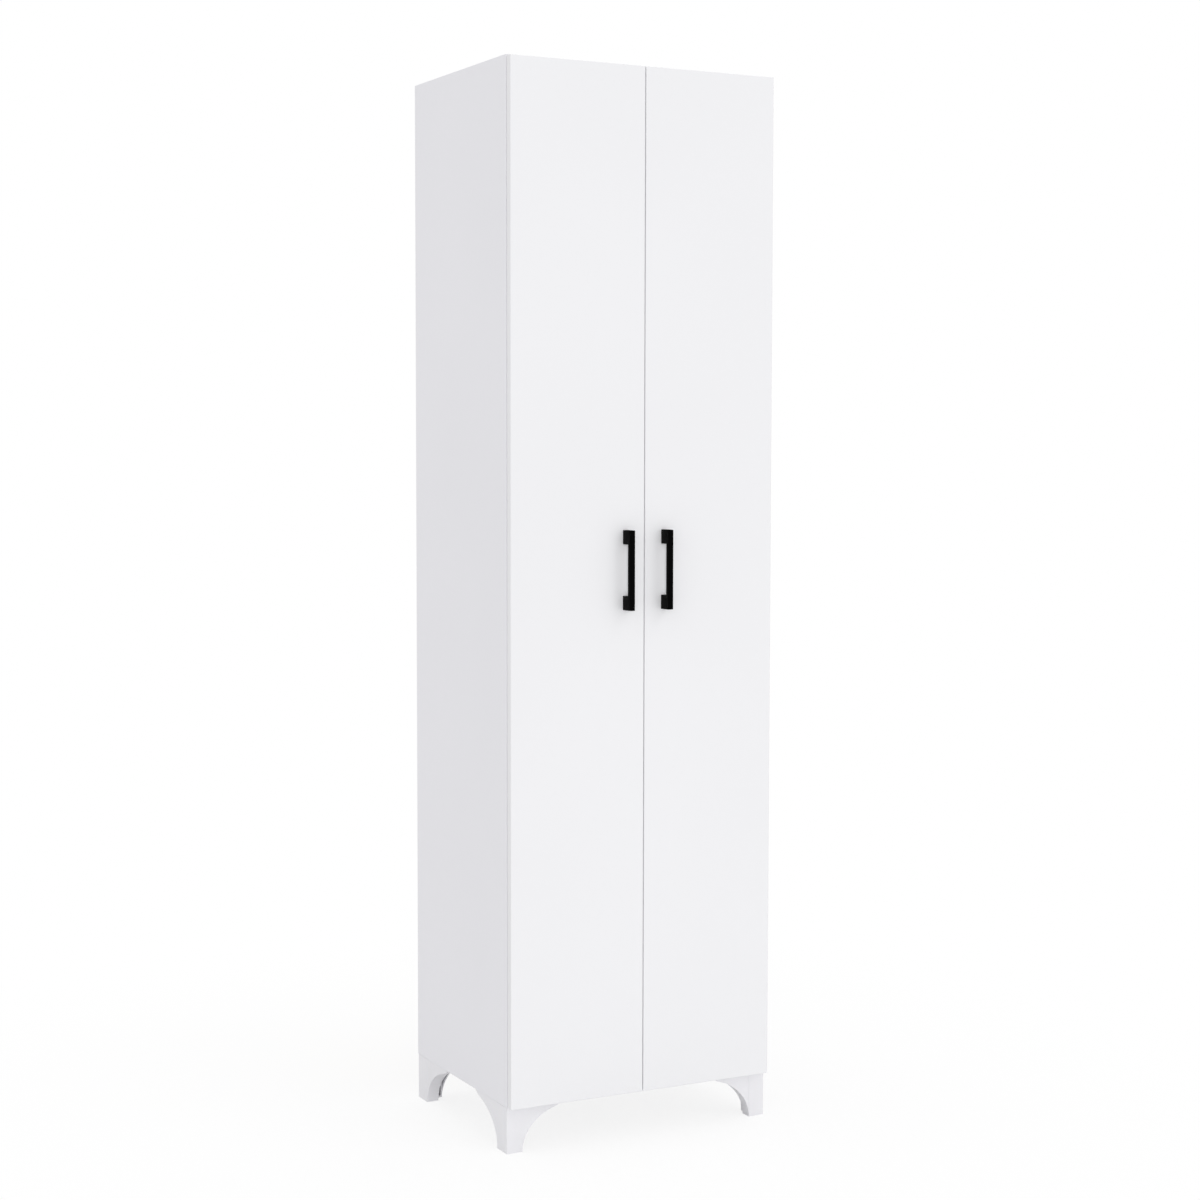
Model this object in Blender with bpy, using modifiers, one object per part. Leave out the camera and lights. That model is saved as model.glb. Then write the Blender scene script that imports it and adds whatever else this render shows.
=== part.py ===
"""Tall two-door cupboard on arched corner feet, with shelves, cup hinges and bow handles.

Origin: bottom centre of the whole, doors shut. X to the right, Y to the back, Z up, metres.
"""

import math

import bmesh
import bpy
from mathutils import Matrix, Vector

# Clearances between pieces
SEAT = 0.0003
SHELF_END_GAP = 0.001
SHELF_BACK_GAP = 0.002
# How far a cutter runs past the face it opens, and how near points are joined
PAST = 0.005
WELD = 0.000001

# Carcass
CARCASS_WIDTH = 0.575
CARCASS_HEIGHT = 2.000
SIDE_DEPTH = 0.440
BOARD = 0.016
BACK_BOARD = 0.003
BACK_INSET = 0.001
EDGE_ROUND = 0.0008

# Shelves, from the bottom up; the one called fixed has no pins
SHELVES = ("lower_shelf", "fixed_shelf", "upper_shelf", "top_shelf")
FIXED = "fixed_shelf"
SHELF_SETBACK = 0.020
FIXED_SETBACK = 0.004

# Shelf pins and the rows of holes that take them
PIN_RADIUS = 0.0025
PIN_DEPTH = 0.008
PIN_TIP = 0.0006
PIN_HOLE_SPARE = 0.001
PIN_HEAD_RADIUS = 0.0035
PIN_HEAD_LENGTH = 0.009
PIN_COLLAR = 0.0008
PIN_COLLAR_RADIUS = 0.0045
PIN_FLAT = 0.0012
PIN_ROW_INSET = 0.052
PIN_HOLE_PITCH = 0.032
PIN_SIDES = 10

# Doors
DOOR_THICKNESS = 0.016
DOOR_STANDOFF = 0.0015
DOOR_SIDE_REVEAL = 0.001
DOOR_TOP_REVEAL = 0.003
DOOR_MIDDLE_GAP = 0.002

# Handles, each a square bar between two end blocks
HANDLE_LENGTH = 0.155
HANDLE_WIDTH = 0.0115
HANDLE_REACH = 0.029
HANDLE_BAR = 0.008
HANDLE_BLOCK = 0.0275
HANDLE_FROM_SEAM = 0.042
HANDLE_UP_DOOR = 1.031
HANDLE_ROUND = 0.0006

# Feet: each has two arms with an arched underside, hollow from the inside
FOOT_HEIGHT = 0.090
FOOT_ARM = 0.025
FOOT_WALL = 0.0028
FOOT_RIB = 0.002
FOOT_FLOOR = 0.004
FOOT_TOP = 0.003
FOOT_LIP = 0.0085
FOOT_TIP = 0.0015
FOOT_STEP = 0.0006
FOOT_REAR_INSET = 0.002
ARCH_CROWN = 0.005
ARCH_STEPS = 15
SIDE_LEG = 0.0445
SIDE_ARCH = 0.124
SIDE_NOSE = 0.014
FRONT_LEG = 0.0335
FRONT_ARCH = 0.103
FRONT_NOSE = 0.008
REAR_LEG = 0.0415
FIXING_PLATE = 0.066
FIXING_THICKNESS = 0.0025
FIXING_HOLE = 0.0022
FIXING_EDGE = 0.008
HOLE_SIDES = 8

# Hinge pins with the door shut, from the carcass's front corner: inwards, then back
HINGE_END_INSET = 0.100
ARM_FAR_PIN = Vector((0.03324, 0.02987))
ARM_NEAR_PIN = Vector((0.02543, 0.00343))
CUP_OUTER_PIN = Vector((0.00997, -0.00360))
CUP_INNER_PIN = Vector((0.01212, -0.00732))
HINGE_PIN = 0.0010
HINGE_PIN_BITE = 0.0008
HINGE_SIDES = 10

# Hinge links: bent straps with an eye at each end
OUTER_BOW = 0.01383
INNER_BOW = 0.01013
OUTER_STRAP = 0.0024
INNER_STRAP = 0.0020
LINK_EYE = 0.0027
OPEN_PLAY = 0.0005
INNER_LINK_HALF = 0.0030
LINK_SIDE_GAP = 0.0006
OUTER_CHEEK = 0.0016
OUTER_NECK = 0.38
STRAP_STEPS = 6

# Hinge arm, a channel that straddles its mounting plate
ARM_CHEEK = 0.0014
ARM_NOSE = 0.0030
ARM_TOP = 0.0300
ARM_BODY_START = 0.038
ARM_END = 0.066
NOSE_ROOM = 0.0015

# Mounting plate with a wing above and below
PLATE_THICKNESS = 0.0022
PLATE_END = 0.062
WING_CENTRE = 0.037
WING_HALF_WIDTH = 0.008
WING_HALF_HEIGHT = 0.026
WING_CORNER = 0.004

# Hinge cup, let into the door's back and held by a flange with two ears
CUP_RADIUS = 0.0175
CUP_DEPTH = 0.0122
CUP_WALL = 0.001
CUP_EDGE = 0.004
CUP_FLANGE = 0.001
CUP_RIM = 0.0012
CUP_WELL_WALL = 0.0016
CUP_SLOT_WALL = 0.0011
CUP_WELL_GAP = 0.0004
CUP_CHEEK_START = 0.008
CUP_SIDES = 24
EAR_INSET = 0.0095
EAR_SPACING = 0.045
EAR_RADIUS = 0.005

# Places worked out from the sizes above
INNER_WIDTH = CARCASS_WIDTH - 2 * BOARD
INNER_HEIGHT = CARCASS_HEIGHT - 2 * BOARD
TOTAL_DEPTH = HANDLE_REACH + SEAT + DOOR_THICKNESS + DOOR_STANDOFF + SIDE_DEPTH + SEAT + BACK_BOARD
DOOR_FRONT = -TOTAL_DEPTH / 2 + HANDLE_REACH + SEAT
DOOR_BACK = DOOR_FRONT + DOOR_THICKNESS
FRONT = DOOR_BACK + DOOR_STANDOFF
REAR = FRONT + SIDE_DEPTH
HALF = CARCASS_WIDTH / 2
BASE = FOOT_HEIGHT + SEAT
TOP = BASE + CARCASS_HEIGHT
DOOR_BOTTOM = BASE
DOOR_TOP = TOP - DOOR_TOP_REVEAL
CUP_CENTRE = DOOR_SIDE_REVEAL + CUP_EDGE + CUP_RADIUS
CUP_OUTSIDE = CUP_RADIUS - SEAT
CUP_INSIDE = CUP_OUTSIDE - CUP_WALL
OUTER_LINK_HALF = INNER_LINK_HALF + LINK_SIDE_GAP + OUTER_CHEEK
CHANNEL_HALF = OUTER_LINK_HALF + LINK_SIDE_GAP
ARM_UNDER = BOARD + SEAT + PLATE_THICKNESS + SEAT
NOSE_END = max(ARM_FAR_PIN.y, ARM_NEAR_PIN.y) + LINK_EYE + NOSE_ROOM

for item in list(bpy.data.objects):
    bpy.data.objects.remove(item, do_unlink=True)


def collection(name):
    """New collection in the scene."""
    group = bpy.data.collections.new(name)
    bpy.context.scene.collection.children.link(group)
    return group


CUPBOARD = collection("cupboard")
CUTTERS = collection("cutters")


def material(name, colour, roughness, metallic=0.0):
    """Plain surface with its own colour, roughness and metallic value."""
    finish = bpy.data.materials.new(name)
    finish.use_nodes = True
    shader = finish.node_tree.nodes["Principled BSDF"]
    shader.inputs["Base Color"].default_value = (*colour, 1.0)
    shader.inputs["Roughness"].default_value = roughness
    shader.inputs["Metallic"].default_value = metallic
    return finish


WHITE_BOARD = material("white_board", (0.83, 0.83, 0.85), 0.45)
WHITE_DOOR = material("white_door", (0.88, 0.88, 0.89), 0.35)
WHITE_PLASTIC = material("white_plastic", (0.82, 0.82, 0.83), 0.40)
BACK_FIBRE = material("back_fibre", (0.78, 0.78, 0.78), 0.70)
BLACK_METAL = material("black_metal", (0.012, 0.012, 0.013), 0.50, 0.3)
NICKEL = material("nickel", (0.62, 0.61, 0.59), 0.28, 1.0)
STEEL = material("steel", (0.50, 0.50, 0.51), 0.35, 1.0)


def finished(form):
    """Mesh from a bmesh, which is freed."""
    mesh = bpy.data.meshes.new("form")
    form.to_mesh(mesh)
    form.free()
    return mesh


def block(low, high):
    """Box between two opposite corners."""
    low = Vector(low)
    high = Vector(high)
    form = bmesh.new()
    scale = Matrix.Diagonal((high - low).to_4d())
    scale[3][3] = 1.0
    bmesh.ops.create_cube(form, size=1.0, matrix=Matrix.Translation((low + high) / 2) @ scale)
    return finished(form)


def rod(start, end, radius, sides):
    """Round bar between two points, its corners on the radius."""
    start = Vector(start)
    end = Vector(end)
    along = end - start
    turn = along.to_track_quat("Z", "Y").to_matrix().to_4x4()
    form = bmesh.new()
    bmesh.ops.create_cone(
        form,
        cap_ends=True,
        segments=sides,
        radius1=radius,
        radius2=radius,
        depth=along.length,
        matrix=Matrix.Translation((start + end) / 2) @ turn,
    )
    return finished(form)


def bore(start, end, radius, sides):
    """Cutter for a round hole, its flats on the radius."""
    return rod(start, end, radius / math.cos(math.pi / sides), sides)


def gather(meshes):
    """One mesh of several solids that lie apart."""
    form = bmesh.new()
    for mesh in meshes:
        form.from_mesh(mesh)
    return finished(form)


def evaluated(piece):
    """Mesh of an object with its modifiers applied; the object is removed."""
    bpy.context.view_layer.update()
    graph = bpy.context.evaluated_depsgraph_get()
    mesh = bpy.data.meshes.new_from_object(piece.evaluated_get(graph))
    bpy.data.objects.remove(piece)
    return mesh


def prism(outline, low, high, turn=Matrix.Identity(4)):
    """Solid between two levels over a flat outline, then turned into place."""
    curve = bpy.data.curves.new("outline", "CURVE")
    curve.dimensions = "2D"
    curve.fill_mode = "BOTH"
    curve.extrude = (high - low) / 2
    line = curve.splines.new("POLY")
    line.points.add(len(outline) - 1)
    for point, (across, up) in zip(line.points, outline):
        point.co = (across, up, 0.0, 1.0)
    line.use_cyclic_u = True
    shape = bpy.data.objects.new("outline", curve)
    CUTTERS.objects.link(shape)
    mesh = evaluated(shape)
    bpy.data.curves.remove(curve)
    form = bmesh.new()
    form.from_mesh(mesh)
    bmesh.ops.remove_doubles(form, verts=form.verts, dist=WELD)
    lift = Matrix.Translation((0.0, 0.0, (low + high) / 2))
    bmesh.ops.transform(form, matrix=turn @ lift, verts=form.verts)
    bmesh.ops.recalc_face_normals(form, faces=form.faces)
    form.to_mesh(mesh)
    form.free()
    return mesh


def combine(mesh, steps):
    """Mesh after each (operation, other mesh) step has been cut away or joined on."""
    blank = bpy.data.objects.new("blank", mesh)
    CUTTERS.objects.link(blank)
    tools = []
    for operation, other in steps:
        tool = bpy.data.objects.new("tool", other)
        CUTTERS.objects.link(tool)
        tools.append(tool)
        change = blank.modifiers.new(operation.lower(), "BOOLEAN")
        change.operation = operation
        change.solver = "EXACT"
        change.object = tool
    result = evaluated(blank)
    for tool in tools:
        bpy.data.objects.remove(tool)
    return result


def circle(centre, radius, sides):
    """Points round a circle in the plane."""
    points = []
    for step in range(sides):
        turn = 2 * math.pi * (step + 0.5) / sides
        points.append((centre[0] + radius * math.cos(turn), centre[1] + radius * math.sin(turn)))
    return points


def hull(points, low, high):
    """Solid between two levels over the convex outline round some points."""
    form = bmesh.new()
    for across, up in points:
        form.verts.new((across, up, low))
        form.verts.new((across, up, high))
    result = bmesh.ops.convex_hull(form, input=form.verts)
    spare = [item for item in result["geom_interior"] if isinstance(item, bmesh.types.BMVert)]
    bmesh.ops.delete(form, geom=spare, context="VERTS")
    bmesh.ops.recalc_face_normals(form, faces=form.faces)
    return finished(form)


def mirrored(mesh, across_x=1, across_y=1):
    """Copy of a mesh, turned over in X, in Y or in both."""
    form = bmesh.new()
    form.from_mesh(mesh)
    bmesh.ops.transform(form, matrix=Matrix.Diagonal((across_x, across_y, 1, 1)), verts=form.verts)
    if across_x * across_y < 0:
        bmesh.ops.reverse_faces(form, faces=form.faces)
    return finished(form)


def moved(mesh, shift):
    """The same mesh, shifted."""
    mesh.transform(Matrix.Translation(shift))
    return mesh


def put(name, mesh, finish, location, parent=None):
    """Named piece at its place, which it keeps when it has a parent."""
    if not mesh.materials:
        mesh.materials.append(finish)
    piece = bpy.data.objects.new(name, mesh)
    piece.location = location
    CUPBOARD.objects.link(piece)
    if parent:
        bpy.context.view_layer.update()
        piece.parent = parent
        piece.matrix_parent_inverse = parent.matrix_world.inverted()
    return piece


def smoothed(mesh):
    """The same mesh, shaded smooth up to its corners."""
    mesh.shade_smooth()
    mesh.set_sharp_from_angle(angle=math.radians(32))
    return mesh


def ease(piece, width, steps=1):
    """Rounded edges."""
    change = piece.modifiers.new("eased edges", "BEVEL")
    change.width = width
    change.segments = steps
    change.limit_method = "ANGLE"
    change.angle_limit = math.radians(40)


def drill(piece, name, mesh):
    """Cut a piece with a cutter that moves with it."""
    cutter = bpy.data.objects.new(name, mesh)
    CUTTERS.objects.link(cutter)
    cutter.hide_render = True
    cutter.display_type = "WIRE"
    cutter.parent = piece
    change = piece.modifiers.new(name, "BOOLEAN")
    change.operation = "DIFFERENCE"
    change.solver = "EXACT"
    change.object = cutter


def board(name, low, high, finish, origin=None, parent=None):
    """Flat board between two corners with eased edges, its origin at its middle if none is given."""
    low = Vector(low)
    high = Vector(high)
    if origin is None:
        origin = (low + high) / 2
    piece = put(name, block(low - origin, high - origin), finish, origin, parent)
    ease(piece, EDGE_ROUND)
    return piece


def shelf_level(index):
    """Underside of a shelf, the shelves being evenly spaced."""
    pitch = (INNER_HEIGHT - len(SHELVES) * BOARD) / (len(SHELVES) + 1)
    return BASE + BOARD + (index + 1) * pitch + index * BOARD


def pin_levels():
    """Middle of the pins under each loose shelf."""
    levels = {}
    for index, shelf in enumerate(SHELVES):
        if shelf != FIXED:
            levels[shelf] = shelf_level(index) - SEAT - PIN_FLAT
    return levels


def pin_rows():
    """Name and depth of the two rows of pins."""
    return (("front", FRONT + PIN_ROW_INSET), ("rear", REAR - PIN_ROW_INSET))


def pin_holes(side):
    """Cutter for the rows of holes in one side, placed from the side's middle."""
    middle = Vector((side * (HALF - BOARD / 2), (FRONT + REAR) / 2, (BASE + TOP) / 2))
    face = side * (HALF - BOARD)
    holes = []
    for level in pin_levels().values():
        for _, depth in pin_rows():
            for step in (-1, 0, 1):
                mouth = Vector((face - side * PAST, depth, level + step * PIN_HOLE_PITCH))
                bottom = Vector((face + side * (PIN_DEPTH + PIN_HOLE_SPARE), mouth.y, mouth.z))
                holes.append(bore(mouth - middle, bottom - middle, PIN_RADIUS, HOLE_SIDES))
    return gather(holes)


def build_carcass():
    """Sides, top, bottom and back."""
    for name, side in (("left_side", -1), ("right_side", 1)):
        outer = side * HALF
        inner = side * (HALF - BOARD)
        low = (min(outer, inner), FRONT, BASE)
        high = (max(outer, inner), REAR, TOP)
        piece = board(name, low, high, WHITE_BOARD)
        drill(piece, name + "_pin_holes", pin_holes(side))
    end = INNER_WIDTH / 2 - SEAT
    board("bottom_panel", (-end, FRONT, BASE), (end, REAR, BASE + BOARD), WHITE_BOARD)
    board("top_panel", (-end, FRONT, TOP - BOARD), (end, REAR, TOP), WHITE_BOARD)
    edge = HALF - BACK_INSET
    low = (-edge, REAR + SEAT, BASE + BACK_INSET)
    high = (edge, REAR + SEAT + BACK_BOARD, TOP - BACK_INSET)
    put("back_panel", block(low, high), BACK_FIBRE, (0, 0, 0))


def build_shelves():
    """Fixed shelf between the sides and loose ones on their pins."""
    for index, name in enumerate(SHELVES):
        level = shelf_level(index)
        if name == FIXED:
            end = INNER_WIDTH / 2 - SEAT
            front = FRONT + FIXED_SETBACK
            rear = REAR
        else:
            end = INNER_WIDTH / 2 - SHELF_END_GAP
            front = FRONT + SHELF_SETBACK
            rear = REAR - SHELF_BACK_GAP
        board(name, (-end, front, level), (end, rear, level + BOARD), WHITE_BOARD)


def turned(profile, sides):
    """Solid of revolution about Z; the profile runs from its top to its bottom."""
    mesh = bpy.data.meshes.new("profile")
    edges = [(index, index + 1) for index in range(len(profile) - 1)]
    mesh.from_pydata([(radius, 0.0, up) for radius, up in profile], edges, [])
    piece = bpy.data.objects.new("profile", mesh)
    CUTTERS.objects.link(piece)
    spin = piece.modifiers.new("turned", "SCREW")
    spin.axis = "Z"
    spin.steps = sides
    spin.render_steps = sides
    spin.use_merge_vertices = True
    spin.merge_threshold = WELD
    return evaluated(piece)


def shelf_pin():
    """Pin that points into a side at -X, with a flat for the shelf on top of its head."""
    shank = PIN_RADIUS - SEAT
    profile = (
        (0.0, PIN_HEAD_LENGTH),
        (PIN_HEAD_RADIUS - PIN_TIP, PIN_HEAD_LENGTH),
        (PIN_HEAD_RADIUS, PIN_HEAD_LENGTH - PIN_TIP),
        (PIN_HEAD_RADIUS, SEAT + PIN_COLLAR),
        (PIN_COLLAR_RADIUS, SEAT + PIN_COLLAR),
        (PIN_COLLAR_RADIUS, SEAT),
        (shank, SEAT),
        (shank, PIN_TIP - PIN_DEPTH),
        (shank - PIN_TIP, -PIN_DEPTH),
        (0.0, -PIN_DEPTH),
    )
    form = turned(profile, PIN_SIDES)
    form.transform(Matrix.Rotation(math.pi / 2, 4, "Y"))
    wide = 2 * PIN_COLLAR_RADIUS
    above = block((SEAT / 2, -wide, PIN_FLAT), (PIN_HEAD_LENGTH + PAST, wide, wide))
    return smoothed(combine(form, [("DIFFERENCE", above)]))


def build_pins():
    """Four pins under each loose shelf."""
    mesh = shelf_pin()
    for shelf, level in pin_levels().items():
        for side_name, side in (("left", -1), ("right", 1)):
            for row, depth in pin_rows():
                name = shelf.replace("_shelf", "") + "_" + side_name + "_" + row + "_pin"
                pin = put(name, mesh, NICKEL, (side * (HALF - BOARD), depth, level))
                if side > 0:
                    pin.rotation_euler.z = math.pi


def arch(leg, span):
    """Underside of an arm: an elliptical arc from the leg's foot up to the lip at the arm's nose."""
    rise = FOOT_HEIGHT - ARCH_CROWN
    full = math.asin((FOOT_HEIGHT - FOOT_LIP) / rise)
    points = []
    for step in range(ARCH_STEPS + 1):
        turn = full * step / ARCH_STEPS
        points.append(Vector((leg + span * (1 - math.cos(turn)), rise * math.sin(turn))))
    return points


def pocket(leg, span):
    """Outline of the hollow in an arm: the arch set in by a wall, up to the arm's top."""
    points = arch(leg, span)
    roof = FOOT_HEIGHT - FOOT_TOP
    outline = [(FOOT_WALL, FOOT_FLOOR), (leg - FOOT_WALL, FOOT_FLOOR)]
    for before, here, after in zip(points, points[1:], points[2:]):
        along = (after - before).normalized()
        inset = here + FOOT_WALL * Vector((-along.y, along.x))
        if FOOT_FLOOR < inset.y < roof - FOOT_WALL:
            outline.append((inset.x, inset.y))
    outline.append((outline[-1][0], roof))
    outline.append((FOOT_WALL, roof))
    return outline


def arm_frame(along_y):
    """Turns an outline of along and up, and its depth from the outer face, into an arm's place."""
    if along_y:
        return Matrix(((0, 0, 1, 0), (1, 0, 0, 0), (0, 1, 0, 0), (0, 0, 0, 1)))
    return Matrix(((1, 0, 0, 0), (0, 0, 1, 0), (0, 1, 0, 0), (0, 0, 0, 1)))


def foot(arms):
    """Hollow corner foot in the corner of +X and +Y, from (leg, arch span, nose, runs along Y) arms."""
    x_reach, y_reach = [arch(leg, span)[-1].x + nose for leg, span, nose, _ in arms]
    plan = [
        (0, 0),
        (x_reach, 0),
        (x_reach, FOOT_ARM),
        (FOOT_ARM, FOOT_ARM),
        (FOOT_ARM, y_reach),
        (0, y_reach),
    ]
    inner = FOOT_ARM - FOOT_WALL
    gusset = [(inner, inner), (FIXING_PLATE, inner), (FIXING_PLATE, FOOT_ARM)]
    gusset += [(FOOT_ARM, FIXING_PLATE), (inner, FIXING_PLATE)]
    steps = [("UNION", prism(gusset, FOOT_HEIGHT - FIXING_THICKNESS, FOOT_HEIGHT))]
    hollows = []
    for leg, span, nose, along_y in arms:
        frame = arm_frame(along_y)
        points = arch(leg, span)
        reach = points[-1].x + nose
        tip = FOOT_HEIGHT - FOOT_TIP
        below = [(leg, -PAST)] + [tuple(point) for point in points]
        below += [(reach, tip), (reach + PAST, tip), (reach + PAST, -PAST)]
        steps.append(("DIFFERENCE", prism(below, -PAST, FOOT_ARM + PAST, frame)))
        face = [(leg, -PAST), (reach + PAST, -PAST), (reach + PAST, 2 * FOOT_HEIGHT), (leg, 2 * FOOT_HEIGHT)]
        steps.append(("DIFFERENCE", prism(face, -PAST, FOOT_STEP, frame)))
        hollow = pocket(leg, span)
        hollows.append(prism(hollow, FOOT_STEP + FOOT_WALL, FOOT_ARM + PAST, frame))
    ribs = []
    corner = FOOT_ARM + PAST
    skew = FOOT_RIB / math.sqrt(2)
    diagonal = [(0, -skew), (corner + skew, corner), (corner, corner + skew), (-skew, 0)]
    ribs.append(("DIFFERENCE", prism(diagonal, -PAST, FOOT_HEIGHT)))
    for leg, span, _, along_y in arms:
        frame = arm_frame(along_y)
        for start in (leg - FOOT_WALL, leg + span / 3):
            rib = [(start, 0), (start + FOOT_RIB, 0), (start + FOOT_RIB, FOOT_HEIGHT), (start, FOOT_HEIGHT)]
            ribs.append(("DIFFERENCE", prism(rib, -PAST, 2 * FOOT_ARM, frame)))
    steps.append(("DIFFERENCE", combine(hollows[0], [("UNION", hollows[1])] + ribs)))
    low = FOOT_ARM + FIXING_EDGE
    far = FIXING_PLATE - FIXING_EDGE
    for spot in ((low, low), (far, low - FIXING_EDGE / 2), (low - FIXING_EDGE / 2, far)):
        top = (*spot, FOOT_HEIGHT + PAST)
        bottom = (*spot, FOOT_HEIGHT - PAST)
        steps.append(("DIFFERENCE", bore(bottom, top, FIXING_HOLE, HOLE_SIDES)))
    return smoothed(combine(prism(plan, 0.0, FOOT_HEIGHT), steps))


def build_feet():
    """Each foot has a long arm under the side and a shorter one across; the rear feet stand inwards."""
    under_side = (SIDE_LEG, SIDE_ARCH, SIDE_NOSE, True)
    front = foot(((FRONT_LEG, FRONT_ARCH, FRONT_NOSE, False), under_side))
    rear = foot(((REAR_LEG, FRONT_ARCH, FRONT_NOSE, False), under_side))
    back = REAR - FOOT_REAR_INSET
    put("front_left_foot", front, WHITE_PLASTIC, (-HALF, FRONT, 0))
    put("front_right_foot", mirrored(front, -1, 1), WHITE_PLASTIC, (HALF, FRONT, 0))
    put("rear_left_foot", mirrored(rear, 1, -1), WHITE_PLASTIC, (-HALF, back, 0))
    put("rear_right_foot", mirrored(rear, -1, -1), WHITE_PLASTIC, (HALF, back, 0))


def pivot(name, side, pin, parent=None):
    """Empty on a hinge pin's axis, at the height of the door's middle."""
    empty = bpy.data.objects.new(name, None)
    empty.empty_display_size = 0.02
    empty.location = hinge_place(side, pin, (DOOR_BOTTOM + DOOR_TOP) / 2)
    CUPBOARD.objects.link(empty)
    if parent:
        bpy.context.view_layer.update()
        empty.parent = parent
        empty.matrix_parent_inverse = parent.matrix_world.inverted()
    return empty


def hinge_place(side, pin, level):
    """World place of a point given from the carcass's front corner."""
    return Vector((side * (HALF - pin.x), FRONT + pin.y, level))


def hinge_levels():
    """Name and middle of the three hinges of a door."""
    return (
        ("lower", DOOR_BOTTOM + HINGE_END_INSET),
        ("middle", (DOOR_BOTTOM + DOOR_TOP) / 2),
        ("upper", DOOR_TOP - HINGE_END_INSET),
    )


def strap(start, end, bow, width, share=1.0):
    """Outline of a strap bent to an arc that bulges to the left of start to end, or part of it."""
    chord = end - start
    half_turn = 2 * math.atan(2 * bow / chord.length)
    radius = chord.length / (2 * math.sin(half_turn))
    left = Vector((-chord.y, chord.x)) / chord.length
    centre = (start + end) / 2 - left * radius * math.cos(half_turn)
    first = math.atan2(start.y - centre.y, start.x - centre.x)
    turns = [first - 2 * half_turn * share * step / STRAP_STEPS for step in range(STRAP_STEPS + 1)]
    outline = []
    for size, order in ((radius + width / 2, turns), (radius - width / 2, reversed(turns))):
        for turn in order:
            outline.append((centre.x + size * math.cos(turn), centre.y + size * math.sin(turn)))
    return outline


def outer_link():
    """Outer link: a full-width neck at the arm's far pin and two cheeks that reach the cup."""
    inside = INNER_LINK_HALF + LINK_SIDE_GAP
    reach = OUTER_LINK_HALF
    far = ARM_FAR_PIN
    near = CUP_OUTER_PIN
    neck = strap(far, near, OUTER_BOW, OUTER_STRAP, OUTER_NECK)
    whole = strap(far, near, OUTER_BOW, OUTER_STRAP)
    steps = [("UNION", prism(neck, -reach, reach))]
    for low, high in ((inside, reach), (-reach, -inside)):
        steps.append(("UNION", prism(whole, low, high)))
        steps.append(("UNION", rod((*near, low), (*near, high), LINK_EYE, HINGE_SIDES + 2)))
    for pin in (far, near):
        ends = ((*pin, -reach - PAST), (*pin, reach + PAST))
        steps.append(("DIFFERENCE", bore(*ends, HINGE_PIN + SEAT, HINGE_SIDES)))
    barrel = rod((*far, -reach), (*far, reach), LINK_EYE, HINGE_SIDES + 2)
    return moved(combine(barrel, steps), (-far.x, -far.y, 0))


def inner_link():
    """Inner link: one strap, with a wide eye on the cup's inner pin, which is the open pivot."""
    reach = INNER_LINK_HALF
    start = ARM_NEAR_PIN
    end = CUP_INNER_PIN
    body = prism(strap(start, end, INNER_BOW, INNER_STRAP), -reach, reach)
    steps = []
    for pin in (start, end):
        steps.append(("UNION", rod((*pin, -reach), (*pin, reach), LINK_EYE, HINGE_SIDES + 2)))
    for pin, play in ((start, SEAT), (end, SEAT + OPEN_PLAY)):
        ends = ((*pin, -reach - PAST), (*pin, reach + PAST))
        steps.append(("DIFFERENCE", bore(*ends, HINGE_PIN + play, HINGE_SIDES)))
    return moved(combine(body, steps), (-start.x, -start.y, 0))


def hinge_arm():
    """Hinge arm: two cheeks that hold both arm pins, joined by a web behind the nose."""
    outside = CHANNEL_HALF + ARM_CHEEK
    body = [(ARM_UNDER, ARM_BODY_START), (ARM_TOP, ARM_BODY_START), (ARM_UNDER, ARM_END), (ARM_TOP, ARM_END)]
    points = body + circle(ARM_FAR_PIN, ARM_NOSE, HINGE_SIDES + 2)
    points += circle(ARM_NEAR_PIN, ARM_NOSE, HINGE_SIDES + 2)
    web = ARM_TOP - ARM_CHEEK
    low = (0, -PAST, -CHANNEL_HALF)
    steps = [
        ("DIFFERENCE", block(low, (web, ARM_END + PAST, CHANNEL_HALF))),
        ("DIFFERENCE", block(low, (2 * ARM_TOP, NOSE_END, CHANNEL_HALF))),
    ]
    bite = CHANNEL_HALF + HINGE_PIN_BITE
    for pin in (ARM_FAR_PIN, ARM_NEAR_PIN):
        steps.append(("UNION", rod((*pin, -bite), (*pin, bite), HINGE_PIN, HINGE_SIDES)))
    return combine(hull(points, -outside, outside), steps)


def mounting_plate():
    """Mounting plate: wings on the side panel and a boss that fills the arm's channel."""
    back = BOARD + SEAT
    face = back + PLATE_THICKNESS
    boss_half = CHANNEL_HALF - SEAT
    boss_top = ARM_TOP - ARM_CHEEK - SEAT
    start = NOSE_END + SEAT + NOSE_ROOM
    corner_y = WING_HALF_WIDTH - WING_CORNER
    corner_z = WING_HALF_HEIGHT - WING_CORNER
    corners = []
    for across in (-corner_y, corner_y):
        for up in (-corner_z, corner_z):
            corners += circle((across, up), WING_CORNER, HINGE_SIDES + 2)
    wings = hull(corners, 0, PLATE_THICKNESS)
    wings.transform(Matrix(((0, 0, 1, back), (1, 0, 0, WING_CENTRE), (0, 1, 0, 0), (0, 0, 0, 1))))
    side = [(back, start), (boss_top, start), (boss_top, ARM_BODY_START), (face + PAST, PLATE_END)]
    side += [(back, PLATE_END)]
    return combine(wings, [("UNION", prism(side, -boss_half, boss_half))])


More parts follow.
